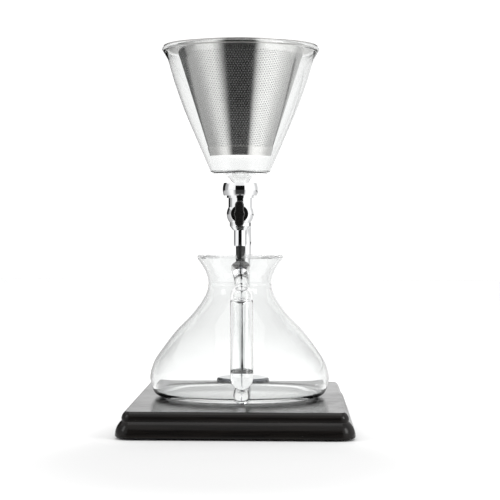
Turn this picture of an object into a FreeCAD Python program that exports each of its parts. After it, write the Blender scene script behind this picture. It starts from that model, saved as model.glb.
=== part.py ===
import FreeCAD, Part
import math
import os

# Manual drip coffee brewer: a moulded wooden base carries a bent chrome post, the post carries a
# ball valve, a glass cone with a steel filter stands in the collar on top of the valve, and a
# glass server with a glass handle stands on the base under the spout.
# Frame: millimetres, +Z up, +X right, -Y is the front. Origin: centre of the base at the feet.

V = FreeCAD.Vector

# ---- driving sizes: server ------------------------------------------------------------------
glass_wall = 2.0
server_gap = 0.2
server_height = 126.0
server_belly_r = 81.0
server_belly_z = 18.5
server_waist_r = 28.7
server_foot_in = 11.0        # foot's radius is this much less than the belly's
heel = ((4.6, 2.9), (1.4, 9.6))       # rounded heel: in from the belly, above the foot
slope = ((0.065, 0.155), (0.208, 0.298), (0.45, 0.498), (0.747, 0.697), (0.945, 0.878))
funnel_flare = ((0.077, 0.3), (0.376, 0.61))   # like slope, but from waist to rim
funnel_height = 25.5         # waist to rim
funnel_out = 11.7            # rim's radius is this much more than the waist's
server_floor = 2.6
server_punt = 1.2            # how far the floor's middle is raised above the foot
floor_corner_in = 2.0        # floor's inner corner, in from the foot
foot_edge_in = 4.0           # foot's inner edge, in from its outer edge
punt_edge_in = 8.0

# ---- driving sizes: server handle -----------------------------------------------------------
handle_turn = 2.8            # degrees that the server stands turned, handle to the right
handle_r = 9.75
handle_wall = 1.5
handle_low_out = 17.0        # lower dome's centre, out from the belly
handle_low_z = 25.0          # above the foot
handle_high_out = 49.3       # upper dome's centre, out from the waist
handle_high_drop = 6.5       # below the waist
handle_top_t = 13.0          # solid glass at the tube's upper end, along its axis
handle_bottom_t = 14.0
handle_hollow_round = 3.0   # corner radius at each end of the tube's hollow
upper_stud_rise = 18.0       # upper stud meets the funnel this far above the waist
upper_stud_into = (1.5, 3.5)    # its end inside the tube: towards the axis and up
upper_stud_r = (9.0, 6.0, 5.5)  # at the funnel, part of the way, in the tube
lower_stud_in = 6.0          # lower stud starts this far inside the belly's widest
lower_stud_z = 9.0           # above the foot
lower_stud_into = (0.5, -5.0)
lower_stud_r = (7.0, 4.0, 5.5)
stud_waist_share = 0.55      # a stud is thinnest this share of the way along

# ---- driving sizes: base --------------------------------------------------------------------
foot_standoff = 1.5          # how far the rubber feet hold the board off the table
upper_tier = 7.8             # height of the bullnose tier
lower_tier = 13.0            # height of the ovolo tier
tier_step = 0.6              # small flat step between the two tiers
bullnose_out = 3.4           # how far the bullnose stands out from the flat top
step_out = 0.8
ovolo_out = 4.8
bullnose_middle = (0.72, 0.3)   # middle of the round: share of its width and of its height
ovolo_middle = (0.72, 0.38)
top_corner_r = 5.0           # plan radius of the flat top's corners
bottom_round = 1.0
base_side = 19.0             # board stands out this far on each side of the server
base_end = 2.4               # flat top behind the post's flange
foot_r = 9.0
foot_edge_r = 0.6
foot_recess = 2.5
foot_inset = 24.0            # foot centre from each side of the board
foot_screw_r = 1.75
foot_screw_head_r = 3.6
foot_screw_length = 14.0
foot_screw_lift = 1.0        # screw head stays this far above the table

# ---- driving sizes: post and arm ------------------------------------------------------------
tube_r = 7.5
tube_wall = 1.2
bend_r = 26.0
flange_r = 26.0
flange_t = 7.0
flange_edge_r = 2.5
post_gap = 0.4               # how far the flange tucks in under the server's widest part
plug_length = 20.0
bolt_r = 4.0
bolt_head_af = 13.0
bolt_head_t = 5.3
bolt_head_recess = 2.0       # bolt head stays this far inside the counterbore
bolt_grip = 14.0             # length of bolt inside the plug
washer_r = 10.0
washer_t = 1.6
counterbore_gap = 1.0
bolt_hole_gap = 0.25
arm_nut_wall = 2.0           # nut's wall over the tube, at its flats
arm_nut_length = 10.0
arm_nut_chamfer = 1.2
arm_spigot_depth = 12.0      # how far the spigot goes into the arm
arm_stud_r = 5.0
arm_stud_length = 6.0

# ---- driving sizes: valve -------------------------------------------------------------------
axis_y = -4.0                # the brewing axis stands a little forward of the base's centre
valve_lift = 38.9            # valve centre above the server's rim
flow_r = 4.0
ball_r = 7.5
seat_gap = 0.1               # running clearance between ball and seats
seat_wall = 0.5              # seat's wall beside the ball
seat_back = 0.7              # seat's outer face beyond the ball
seat_hole_gap = 0.3          # seat's hole is this much wider than the flow
body_wall = 4.3              # metal round the vertical bore, where the round body is widest
body_front_wall = 7.5        # ball to the front boss's face
body_back_wall = 5.5
front_boss_wall = 1.4        # metal round the packing nut
boss_edge_r = 0.5
rear_boss_wall = 1.3         # rear boss is this much thicker than the arm
rear_boss_length = 7.0
top_boss_wall = 2.7
top_boss_rise = 6.2          # above the upper seat
outlet_boss_r = 9.5
outlet_boss_drop = 6.5       # below the lower seat
outlet_taper = 3.7
outlet_lip = 0.9             # metal round the spout at the outlet's lower end
stem_r = 3.0
stem_gap = 0.05
stem_back_gap = 0.3          # stem's inner end stays this far off the ball
stem_flange_r = 4.8
stem_flange_t = 1.0
packing_r = 6.2
packing_depth = 4.5
packing_cap_r = 7.4
packing_cap_t = 1.4
tang_width = 3.0
tang_depth = 2.6             # how far the stem's key reaches into the ball
tang_gap = 0.1
o_ring_cord_r = 0.55
groove_gap = 0.1             # groove is this much wider than its O-ring on each side
stem_ring_shares = (0.3, 0.7)   # where the stem's two O-rings sit along the packing

# ---- driving sizes: lever -------------------------------------------------------------------
lever_gap = 0.3
hub_r = 7.75
hub_t = 3.8
lever_length = 23.5
lever_width = 8.0
lever_t = 6.0
lever_waist_r = 4.9
lever_edge_r = 1.2
stem_in_lever = 7.0
set_screw_r = 1.5
set_screw_sink = 0.6         # set screw ends this far below the hub's surface

# ---- driving sizes: neck and collar ---------------------------------------------------------
neck_flange_out = 1.6        # flange stands out over the valve's top boss
neck_flange_t = 2.1
neck_bore_r = 4.5
gasket_wall = 3.0
gasket_gap = 0.1             # between the gasket and the cone's glass stem
gasket_height = 6.5
cup_wall = 2.4
cup_height = 7.5
cup_floor = 2.0
collar_wall = 3.0            # at its belly
collar_end_wall = 2.0
collar_height = 11.5
collar_cap_t = 2.0
collar_hole_gap = 1.2
stem_rest_gap = 0.2          # cone's glass stem ends this far above the cup's floor

# ---- driving sizes: spout -------------------------------------------------------------------
tip_r = 3.9
tip_wall = 1.5
tip_socket = 10.0
tip_end_r = 3.4
tip_reach = 36.7             # silicone tip below the chrome spout
spout_wall = 1.8             # chrome round the silicone tip
spout_edge_r = 0.8
spout_bore_r = 2.8
spout_socket = 4.2
spout_reach = 14.6           # chrome spout below the valve's outlet

# ---- driving sizes: glass cone --------------------------------------------------------------
stem_outer_r = 7.5           # glass stem under the cone
stem_length = 10.3
throat_height = 6.8          # from the stem up to the cone's lower corner
throat_flare = ((1.6, 0.36), (5.8, 0.76))   # out from the stem, share of the throat's height
floor_share = 0.75           # throat reaches this share of the lower corner's radius
corner_in = 2.2              # start of the rounded lower corner: in from it, and up
corner_up = 1.7
corner_drop = 6.0            # height of the rounded lower corner
cone_bottom_r = 28.4
cone_top_r = 67.5
cone_height = 103.8          # from the lower corner to the bead
cone_bulge = 2.9             # how far the side swells out from a straight cone
bulge_power = 1.25           # above 1 the swell is fuller towards the rim
bead_r = 2.0
bead_out = 3.6               # bead's outer edge beyond the top of the side
bead_lift = 0.9
web_low = 0.2                # web that joins the bead to the side: its lower edge's overlap
web_half = 1.0               # half its width in the bead

# ---- driving sizes: steel filter ------------------------------------------------------------
steel_t = 0.6
filter_top_in = 9.2          # steel is this much narrower than the glass, at its top
filter_bottom_in = 1.4       # and at its bottom
filter_short = 5.8           # steel is this much shorter than the glass side
filter_rise = 2.6            # top of the steel cone above the bead's centre
lip_in = 1.6                 # lip stops this far inside the rim's outer edge
lip_skirt = 6.0
filter_foot = 7.0

# ---- places that follow from them -----------------------------------------------------------
board_t = upper_tier + tier_step + lower_tier
board_out = bullnose_out + step_out + ovolo_out
base_top = foot_standoff + board_t
server_z = base_top + server_gap
server_foot_r = server_belly_r - server_foot_in
server_rim_r = server_waist_r + funnel_out
server_waist_z = server_height - funnel_height
post_y = axis_y + server_belly_r - post_gap + flange_r
base_width = 2 * (server_belly_r + base_side)
base_depth = 2 * (post_y + flange_r + base_end + board_out)
tube_bore_r = tube_r - tube_wall
valve_z = server_z + server_height + valve_lift
bore_r = ball_r + seat_wall
seat_reach = ball_r + seat_back
body_r = bore_r + body_wall
body_front = ball_r + body_front_wall
body_back = ball_r + body_back_wall
rear_boss_r = tube_r + rear_boss_wall
arm_end_y = axis_y + body_back + rear_boss_length
arm_nut_af = 2 * (tube_r + arm_nut_wall)
neck_z = valve_z + seat_reach + top_boss_rise
cup_z = neck_z + neck_flange_t
neck_flange_r = bore_r + top_boss_wall + neck_flange_out
cup_r = stem_outer_r + gasket_gap + gasket_wall + cup_wall
tip_bore_r = tip_r - tip_wall
spout_r = tip_r + spout_wall
outlet_z = valve_z - seat_reach - outlet_boss_drop
spout_low_z = outlet_z - spout_reach
tip_low_z = spout_low_z - tip_reach
stem_z = cup_z + cup_floor + stem_rest_gap
throat_z = stem_z + stem_length
corner_z = throat_z + throat_height
cone_z = corner_z + corner_drop
cone_top_z = cone_z + cone_height
cone_rim_r = cone_top_r + bead_out
bead_z = cone_top_z + bead_r + bead_lift
filter_top_r = cone_top_r - filter_top_in
filter_bottom_r = cone_bottom_r - filter_bottom_in
filter_depth = cone_height - filter_short
filter_top_z = bead_z + filter_rise
filter_bottom_z = filter_top_z - filter_depth
past = 1.0                   # cutting bodies run this far beyond the faces that they cut


# ---- shape helpers --------------------------------------------------------------------------
def rod(r, start, end):
    """Solid round bar between two points."""
    along = end - start
    return Part.makeCylinder(r, along.Length, start, along)


def ring(r_out, r_in, start, end):
    """Round bar with a round hole right through."""
    return rod(r_out, start, end).cut(rod(r_in, start, end))


def up(x, y, z0, z1, r):
    """Vertical round bar."""
    return rod(r, V(x, y, z0), V(x, y, z1))


def on_axis(r, z0, z1):
    """Vertical round bar on the brewing axis."""
    return up(0, axis_y, z0, z1, r)


def along_y(r, y0, y1):
    """Round bar through the valve centre, front to back; distances from the brewing axis."""
    return rod(r, V(0, axis_y + y0, valve_z), V(0, axis_y + y1, valve_z))


def hexagon(af, start, end):
    """Six-sided bar, given across its flats."""
    along = end - start
    side = V(0, 0, 1)
    if abs(along.z) > abs(along.y):
        side = V(1, 0, 0)
    across = along.cross(side).normalize()
    corner = af / math.sqrt(3)
    points = []
    for i in range(7):
        a = math.radians(60 * i)
        points.append(start + side * (corner * math.cos(a)) + across * (corner * math.sin(a)))
    return Part.Face(Part.makePolygon(points)).extrude(along)


def turned(edges):
    """Body of revolution about the brewing axis from edges drawn as (radius, height)."""
    face = Part.Face(Part.Wire(Part.__sortEdges__(edges)))
    solid = face.revolve(V(0, 0, 0), V(0, 0, 1), 360)
    solid.translate(V(0, axis_y, 0))
    return solid


def turned_outline(points):
    """Body of revolution from a closed outline of straight lines."""
    return turned(lines(points + [points[0]]))


def at(point):
    return V(point[0], 0, point[1])


def lines(points):
    return [Part.LineSegment(at(a), at(b)).toShape() for a, b in zip(points, points[1:]) if a != b]


def arc(a, middle, b):
    return Part.Arc(at(a), at(middle), at(b)).toShape()


def curve(points):
    """Smooth curve through the points."""
    spline = Part.BSplineCurve()
    spline.interpolate([at(p) for p in points])
    return spline


def inside_of(spline, points, wall):
    """The curve's points moved by one wall thickness towards the axis side."""
    moved = []
    for p in points:
        direction = V(*spline.tangent(spline.parameter(at(p)))[0])
        direction.normalize()
        moved.append((p[0] - direction.z * wall, p[1] + direction.x * wall))
    return moved


def o_ring(shaft_r, centre, along):
    """O-ring whose outside is level with the shaft that it sits in."""
    return Part.makeTorus(shaft_r - o_ring_cord_r, o_ring_cord_r, centre, along)


def o_ring_groove(shaft_r, centre, along):
    """Square groove for that O-ring, to cut from the shaft."""
    half = along * (o_ring_cord_r + groove_gap)
    return ring(shaft_r + 1, shaft_r - 2 * o_ring_cord_r, centre - half, centre + half)


# ---- base -----------------------------------------------------------------------------------
def base_edge():
    """Section of the moulded edge: (distance out from the flat top, height above the board)."""
    step_x = bullnose_out + step_out
    out, down = bullnose_middle
    edges = [arc((0, board_t), (out * bullnose_out, board_t - down * upper_tier),
                 (bullnose_out, board_t - upper_tier))]
    edges += lines([(bullnose_out, board_t - upper_tier), (step_x, lower_tier)])
    out, down = ovolo_middle
    edges += [arc((step_x, lower_tier), (step_x + out * ovolo_out, (1 - down) * lower_tier),
                  (board_out, bottom_round))]
    edges += lines([(board_out, bottom_round), (board_out - bottom_round, 0)])
    edges += lines([(board_out - bottom_round, 0), (-top_corner_r, 0)])
    edges += lines([(-top_corner_r, 0), (-top_corner_r, board_t), (0, board_t)])
    return Part.Face(Part.Wire(Part.__sortEdges__(edges)))


def moulded_board():
    half_w = base_width / 2 - board_out
    half_d = base_depth / 2 - board_out
    core = Part.makeBox(2 * (half_w - top_corner_r), 2 * (half_d - top_corner_r), board_t,
                        V(top_corner_r - half_w, top_corner_r - half_d, 0))
    pieces = []
    for turn in range(4):
        run, reach = (half_d, half_w) if turn % 2 == 0 else (half_w, half_d)
        run = run - top_corner_r
        side = base_edge()
        side.translate(V(reach, -run, 0))
        side = side.extrude(V(0, 2 * run, 0))
        corner = base_edge()
        corner.translate(V(top_corner_r, 0, 0))
        corner = corner.revolve(V(0, 0, 0), V(0, 0, 1), 90)
        corner.translate(V(reach - top_corner_r, run, 0))
        for piece in (side, corner):
            piece.rotate(V(0, 0, 0), V(0, 0, 1), 90 * turn)
            pieces.append(piece)
    board = core.multiFuse(pieces).removeSplitter()
    board.translate(V(0, 0, foot_standoff))
    return board


def foot_places():
    x = base_width / 2 - foot_inset
    y = base_depth / 2 - foot_inset
    return [V(sx * x, sy * y, 0) for sx in (-1, 1) for sy in (-1, 1)]


def foot_screw(place):
    head_z = foot_screw_lift
    shank_z = head_z + foot_screw_head_r - foot_screw_r
    head = Part.makeCone(foot_screw_head_r, foot_screw_r, shank_z - head_z, place + V(0, 0, head_z))
    shank = rod(foot_screw_r, place + V(0, 0, shank_z), place + V(0, 0, foot_screw_length))
    return head.fuse(shank).removeSplitter()


def foot(place):
    top = foot_standoff + foot_recess
    pad = rod(foot_r, place, place + V(0, 0, top))
    rim = [e for e in pad.Edges if e.BoundBox.ZMax < 0.01 and len(e.Vertexes) == 1]
    pad = pad.makeFillet(foot_edge_r, rim)
    well = rod(foot_screw_head_r, place, place + V(0, 0, foot_screw_lift))
    return pad.cut(well).cut(foot_screw(place))


def base_board():
    board = moulded_board()
    for place in foot_places():
        recess = rod(foot_r, place, place + V(0, 0, foot_standoff + foot_recess))
        board = board.cut(recess).cut(foot_screw(place))
    washer_top = counterbore_top()
    board = board.cut(up(0, post_y, 0, washer_top, washer_r + counterbore_gap))
    return board.cut(up(0, post_y, 0, base_top + past, bolt_r + bolt_hole_gap))


def counterbore_top():
    return foot_standoff + bolt_head_recess + bolt_head_t + washer_t


def post_washer():
    top = counterbore_top()
    return ring(washer_r, bolt_r + bolt_hole_gap, V(0, post_y, top - washer_t), V(0, post_y, top))


def post_bolt():
    head_z = foot_standoff + bolt_head_recess
    shank_z = head_z + bolt_head_t
    head = hexagon(bolt_head_af, V(0, post_y, head_z), V(0, post_y, shank_z))
    return head.fuse(up(0, post_y, shank_z, base_top + bolt_grip, bolt_r)).removeSplitter()


# ---- post and arm ---------------------------------------------------------------------------
def arm_path(start_z, end_y):
    """Centre line of the post and arm: up, a round bend, then forward."""
    bend_start = V(0, post_y, valve_z - bend_r)
    bend_end = V(0, post_y - bend_r, valve_z)
    s = bend_r * (1 - math.sqrt(0.5))
    middle = V(0, post_y - s, valve_z - s)
    return Part.Wire([
        Part.LineSegment(V(0, post_y, start_z), bend_start).toShape(),
        Part.Arc(bend_start, middle, bend_end).toShape(),
        Part.LineSegment(bend_end, V(0, end_y, valve_z)).toShape(),
    ])


def swept(r, start_z, end_y):
    profile = Part.Wire(Part.Circle(V(0, post_y, start_z), V(0, 0, 1), r).toShape())
    return arm_path(start_z, end_y).makePipeShell([profile], True, False)


def post_tube():
    return swept(tube_r, base_top, arm_end_y).cut(swept(tube_bore_r, base_top, arm_end_y))


def post_plug():
    plug = up(0, post_y, base_top, base_top + plug_length, tube_bore_r)
    return plug.cut(up(0, post_y, base_top, base_top + bolt_grip, bolt_r))


def post_flange():
    disc = up(0, post_y, base_top, base_top + flange_t, flange_r)
    top_edge = [e for e in disc.Edges if abs(e.BoundBox.ZMin - base_top - flange_t) < 0.01]
    disc = disc.makeFillet(flange_edge_r, top_edge)
    return disc.cut(up(0, post_y, base_top, base_top + flange_t, tube_r))


def arm_spigot():
    """Turned fitting that fills the arm's front end and screws into the valve's rear boss."""
    front = arm_end_y - axis_y
    inside = along_y(tube_bore_r, front, front + arm_spigot_depth)
    return inside.fuse(along_y(arm_stud_r, front - arm_stud_length, front)).removeSplitter()


def arm_nut():
    front = V(0, arm_end_y - arm_nut_length / 2, valve_z)
    back = V(0, arm_end_y + arm_nut_length / 2, valve_z)
    nut = hexagon(arm_nut_af, front, back)
    small_r = arm_nut_af / math.sqrt(3) - arm_nut_chamfer
    height = arm_nut_length + past
    for end, along in ((front, V(0, 1, 0)), (back, V(0, -1, 0))):
        nut = nut.common(Part.makeCone(small_r, small_r + height, height, end, along))
    return nut.cut(rod(rear_boss_r, front, V(0, arm_end_y, valve_z))).cut(
        rod(tube_r, V(0, arm_end_y, valve_z), back))


# ---- valve ----------------------------------------------------------------------------------
def valve_body():
    """Round body with bosses for the packing nut, the arm, the neck and the spout."""
    front_boss = along_y(packing_r + front_boss_wall, -body_front, 0)
    front_face = axis_y - body_front
    front_edge = [e for e in front_boss.Edges if e.BoundBox.YMax < front_face + 0.01]
    front_boss = front_boss.makeFillet(boss_edge_r, front_edge)
    body = Part.makeSphere(body_r, V(0, axis_y, valve_z))
    taper_z = outlet_z + outlet_taper
    body = body.multiFuse([
        front_boss,
        on_axis(bore_r + top_boss_wall, valve_z, neck_z),
        along_y(rear_boss_r, 0, body_back + rear_boss_length),
        on_axis(outlet_boss_r, taper_z, valve_z),
        Part.makeCone(spout_r + outlet_lip, outlet_boss_r, outlet_taper, V(0, axis_y, outlet_z)),
    ]).removeSplitter()
    body = body.cut(on_axis(bore_r, valve_z - seat_reach, neck_z))
    body = body.cut(on_axis(flow_r, outlet_z, valve_z))
    body = body.cut(on_axis(spout_r, outlet_z, outlet_z + spout_socket))
    body = body.cut(along_y(stem_r + stem_gap, -body_front, 0))
    body = body.cut(along_y(packing_r, -body_front, packing_depth - body_front))
    front = body_back + rear_boss_length
    return body.cut(along_y(arm_stud_r, front - arm_stud_length, front))


def ball_seats():
    ball = Part.makeSphere(ball_r + seat_gap, V(0, axis_y, valve_z))
    seats = []
    for low, high in ((-seat_reach, -flow_r), (flow_r, seat_reach)):
        seat = on_axis(bore_r, valve_z + low, valve_z + high)
        hole = on_axis(flow_r + seat_hole_gap, valve_z + low, valve_z + high)
        seat = seat.cut(hole).cut(ball)
        seats.append(seat)
    return Part.makeCompound(seats)


def tang(extra):
    """Flat key on the stem's inner end, in line with the lever; extra is the slot's clearance."""
    height = 2 * stem_r + 2 * extra
    width = tang_width + 2 * extra
    root_y = axis_y - ball_r - tang_depth
    return Part.makeBox(width, 2 * tang_depth + extra, height,
                        V(-width / 2, root_y, valve_z - height / 2))


def valve_ball():
    ball = Part.makeSphere(ball_r, V(0, axis_y, valve_z))
    ball = ball.cut(on_axis(flow_r, valve_z - ball_r, valve_z + ball_r))
    return ball.cut(tang(tang_gap))


def stem_ring_places():
    start = -body_front - packing_cap_t
    reach = packing_depth + packing_cap_t - stem_flange_t
    return [V(0, axis_y + start + reach * share, valve_z) for share in stem_ring_shares]


def stem_o_rings():
    return Part.makeCompound([o_ring(stem_r, place, V(0, 1, 0)) for place in stem_ring_places()])


def valve_stem():
    flange_back = packing_depth - body_front
    tip = -body_front - packing_cap_t - lever_gap - stem_in_lever
    stem = along_y(stem_r, tip, -ball_r - stem_back_gap)
    stem = stem.fuse(along_y(stem_flange_r, flange_back - stem_flange_t, flange_back - stem_gap))
    key = tang(0).common(along_y(stem_r, -ball_r - 2 * stem_back_gap, 0))
    stem = stem.fuse(key).removeSplitter()
    for place in stem_ring_places():
        stem = stem.cut(o_ring_groove(stem_r, place, V(0, 1, 0)))
    return stem


def packing_nut():
    flange_back = packing_depth - body_front
    nut = along_y(packing_r, -body_front, flange_back - stem_flange_t - stem_gap)
    cap = along_y(packing_cap_r, -body_front - packing_cap_t, -body_front)
    nut = nut.fuse(cap).removeSplitter()
    return nut.cut(along_y(stem_r + stem_gap, -body_front - packing_cap_t, 0))


def valve_lever():
    hub_back = -body_front - packing_cap_t - lever_gap
    bar_back = hub_back - hub_t
    bar_front = bar_back - lever_t
    half = lever_length / 2 - lever_width / 2
    bar = Part.makeBox(lever_width, lever_t, 2 * half,
                       V(-lever_width / 2, axis_y + bar_front, valve_z - half))
    for side in (-1, 1):
        end = V(0, axis_y + bar_front, valve_z + side * half)
        bar = bar.fuse(rod(lever_width / 2, end, end + V(0, lever_t, 0)))
    bar = bar.fuse(along_y(lever_waist_r, bar_front, bar_back)).removeSplitter()
    front_edges = [e for e in bar.Edges if e.BoundBox.YMax < axis_y + bar_front + 0.01]
    bar = bar.makeFillet(lever_edge_r, front_edges)
    lever = bar.fuse(along_y(hub_r, bar_back, hub_back)).removeSplitter()
    lever = lever.cut(along_y(stem_r, hub_back - stem_in_lever, hub_back))
    return lever.cut(lever_screw())


def lever_screw():
    place = V(stem_r, axis_y - body_front - packing_cap_t - lever_gap - hub_t / 2, valve_z)
    return rod(set_screw_r, place, place + V(hub_r - stem_r - set_screw_sink, 0, 0)).cut(
        along_y(stem_r, -2 * body_front, 0))


# ---- neck and collar ------------------------------------------------------------------------
def inlet_neck():
    neck = on_axis(bore_r, valve_z + seat_reach, neck_z)
    neck = neck.fuse(on_axis(neck_flange_r, neck_z, cup_z))
    neck = neck.fuse(on_axis(cup_r, cup_z, cup_z + cup_height)).removeSplitter()
    neck = neck.cut(on_axis(cup_r - cup_wall, cup_z + cup_floor, cup_z + cup_height))
    neck = neck.cut(on_axis(neck_bore_r, valve_z, neck_z + cup_height))
    return neck.cut(o_ring_groove(bore_r, neck_ring_place(), V(0, 0, 1)))


def neck_ring_place():
    return V(0, axis_y, (valve_z + seat_reach + neck_z) / 2)


def neck_o_ring():
    return o_ring(bore_r, neck_ring_place(), V(0, 0, 1))


def cone_gasket():
    """Silicone sleeve that grips the cone's glass stem."""
    low = cup_z + cup_floor
    gasket = on_axis(cup_r - cup_wall, low, low + gasket_height)
    return gasket.cut(on_axis(stem_outer_r + gasket_gap, low, low + gasket_height))


def collar_nut():
    """Barrel-shaped union nut screwed over the cup."""
    top = cup_z + collar_height
    middle = (cup_z + top) / 2
    end_r = cup_r + collar_end_wall
    edges = [arc((end_r, cup_z), (cup_r + collar_wall, middle), (end_r, top))]
    hole = stem_outer_r + collar_hole_gap
    ceiling = top - collar_cap_t
    edges += lines([(end_r, top), (hole, top), (hole, ceiling), (cup_r, ceiling),
                    (cup_r, cup_z), (end_r, cup_z)])
    return turned(edges)


# ---- spout ----------------------------------------------------------------------------------
def spout_tube():
    top = outlet_z + spout_socket
    low = spout_low_z
    tube = on_axis(spout_r, low, top)
    low_edge = [e for e in tube.Edges if e.BoundBox.ZMax < low + 0.01 and len(e.Vertexes) == 1]
    tube = tube.makeFillet(spout_edge_r, low_edge)
    tube = tube.cut(on_axis(spout_bore_r, low, top))
    tube = tube.cut(on_axis(tip_r, low, low + tip_socket))
    return tube.cut(o_ring_groove(spout_r, spout_ring_place(), V(0, 0, 1)))


def spout_ring_place():
    return V(0, axis_y, outlet_z + spout_socket / 2)


def spout_o_ring():
    return o_ring(spout_r, spout_ring_place(), V(0, 0, 1))


def outlet_tip():
    """Soft silicone tube pushed up into the spout, thinning a little to its lower end."""
    top = spout_low_z + tip_socket
    tip = on_axis(tip_r, spout_low_z, top)
    tip = tip.fuse(Part.makeCone(tip_end_r, tip_r, tip_reach, V(0, axis_y, tip_low_z)))
    return tip.removeSplitter().cut(on_axis(tip_bore_r, tip_low_z, top))


# ---- glass cone -----------------------------------------------------------------------------
def cone_side():
    """Outside of the cone from its lower corner to the bead: straight plus a gentle swell."""
    points = []
    for share in (0.0, 0.25, 0.5, 0.75, 1.0):
        straight = cone_bottom_r + share * (cone_top_r - cone_bottom_r)
        swell = cone_bulge * math.sin(math.pi * share ** bulge_power)
        points.append((straight + swell, cone_z + share * cone_height))
    return points


def cone_outline():
    """Outside of the glass from the top of the stem to the bead."""
    throat = [(stem_outer_r, throat_z)]
    throat += [(stem_outer_r + out, throat_z + share * throat_height) for out, share in throat_flare]
    throat.append((floor_share * cone_bottom_r, corner_z))
    throat.append((cone_bottom_r - corner_in, corner_z + corner_up))
    return throat + cone_side()


def glass_cone():
    outside = cone_outline()
    outer = curve(outside)
    inside = inside_of(outer, outside, glass_wall)
    inner = curve(inside)
    low = (stem_outer_r, stem_z)
    low_in = (inside[0][0], stem_z)
    edges = [outer.toShape(), inner.toShape()]
    edges += lines([outside[-1], inside[-1]])
    edges += lines([inside[0], low_in, low, outside[0]])
    shell = turned(edges)
    bead_centre_r = cone_rim_r - bead_r
    bead = Part.makeTorus(bead_centre_r, bead_r, V(0, axis_y, bead_z), V(0, 0, 1))
    web_z = cone_top_z - web_low
    web_r = bead_centre_r - web_half / 2
    web = [(cone_top_r - glass_wall, web_z), (cone_top_r, web_z),
           (web_r + web_half, bead_z), (web_r - web_half, bead_z)]
    return shell.multiFuse([turned_outline(web), bead]).removeSplitter()


# ---- steel filter ---------------------------------------------------------------------------
def filter_r(z):
    share = (z - filter_bottom_z) / filter_depth
    return filter_bottom_r + share * (filter_top_r - filter_bottom_r)


def cone_band(z0, z1, out, inward):
    """Thin conical band along the filter's side, between two offsets from its outer face."""
    return turned_outline([(filter_r(z0) + out, z0), (filter_r(z1) + out, z1),
                           (filter_r(z1) - inward, z1), (filter_r(z0) - inward, z0)])


def filter_cone():
    return cone_band(filter_bottom_z, filter_top_z, 0, steel_t)


def filter_lip():
    """Flat ring that hangs on the glass bead, with a skirt down inside the steel cone."""
    skirt = cone_band(filter_top_z - lip_skirt, filter_top_z, -steel_t, 2 * steel_t)
    low = filter_top_z
    inner_r = filter_r(filter_top_z) - 2 * steel_t
    outer_r = cone_rim_r - lip_in
    edges = lines([(inner_r, low), (inner_r, low + steel_t), (outer_r, low + steel_t)])
    edges += [arc((outer_r, low + steel_t), (outer_r + steel_t / 2, low + steel_t / 2),
                  (outer_r, low))]
    edges += lines([(outer_r, low), (inner_r, low)])
    return turned(edges).fuse(skirt).removeSplitter()


def filter_base():
    """Closed steel cup over the cone's lower end."""
    low = filter_bottom_z
    skirt = cone_band(low - steel_t, low + filter_foot, steel_t, 0)
    floor = on_axis(filter_r(low - steel_t) + steel_t / 2, low - steel_t, low)
    return floor.fuse(skirt).removeSplitter()


# ---- server ---------------------------------------------------------------------------------
def bowl_outline():
    """Outside of the glass bowl, from the foot's corner over the belly up to the waist."""
    run = server_belly_r - server_waist_r
    rise = server_waist_z - server_belly_z
    points = [(server_foot_r, 0)]
    points += [(server_belly_r - inward, z) for inward, z in heel]
    points.append((server_belly_r, server_belly_z))
    points += [(server_belly_r - a * run, server_belly_z + b * rise) for a, b in slope]
    points.append((server_waist_r, server_waist_z))
    return points


def funnel_outline():
    """Outside of the flared funnel that is fused onto the bowl at the waist."""
    points = [(server_waist_r, server_waist_z)]
    points += [(server_waist_r + a * funnel_out, server_waist_z + b * funnel_height)
               for a, b in funnel_flare]
    points.append((server_rim_r, server_height))
    return points


def lifted(points):
    return [(r, z + server_z) for r, z in points]


def server_body():
    outside = lifted(bowl_outline())
    outer = curve(outside)
    floor_in = server_z + server_punt + server_floor
    inside = [(server_foot_r - floor_corner_in, floor_in)]
    inside += inside_of(outer, outside[1:-1], glass_wall)
    inside.append((server_waist_r - glass_wall, outside[-1][1]))
    edges = [outer.toShape(), curve(inside).toShape()]
    edges += lines([outside[-1], inside[-1]])
    punt_z = server_z + server_punt
    edges += lines([inside[0], (0, floor_in), (0, punt_z), (server_foot_r - punt_edge_in, punt_z),
                    (server_foot_r - foot_edge_in, server_z), outside[0]])
    return turned(edges)


def server_funnel():
    outside = lifted(funnel_outline())
    outer = curve(outside)
    inside = [(server_waist_r - glass_wall, outside[0][1])]
    inside += inside_of(outer, outside[1:], glass_wall)
    rim_out = outside[-1]
    rim_in = inside[-1]
    crown = ((rim_out[0] + rim_in[0] - rim_out[1] + rim_in[1]) / 2,
             (rim_out[1] + rim_in[1] + rim_out[0] - rim_in[0]) / 2)
    edges = [outer.toShape(), curve(inside).toShape(), arc(rim_out, crown, rim_in)]
    edges += lines([outside[0], inside[0]])
    return turned(edges)


def filled(outline):
    """The outline's solid with no hollow, to trim the handle's studs to the glass."""
    outside = lifted(outline)
    edges = [curve(outside).toShape()]
    edges += lines([outside[-1], (0, outside[-1][1]), (0, outside[0][1]), outside[0]])
    return turned(edges)


def handle_point(out, z):
    """A point of the handle, given as distance from the axis and height above the foot."""
    return V(0, axis_y - out, server_z + z)


def capsule(r, start, end):
    return rod(r, start, end).multiFuse([Part.makeSphere(r, start), Part.makeSphere(r, end)])


def stud(start, dome, into, radii):
    """Solid glass stud from the server's wall into the tube, thinner in its middle."""
    end = dome + V(0, into[0], into[1])
    along = end - start
    wires = []
    for share, r in zip((0, stud_waist_share, 1), radii):
        wires.append(Part.Wire(Part.Circle(start + along * share, along, r).toShape()))
    return Part.makeLoft(wires, True)


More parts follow.
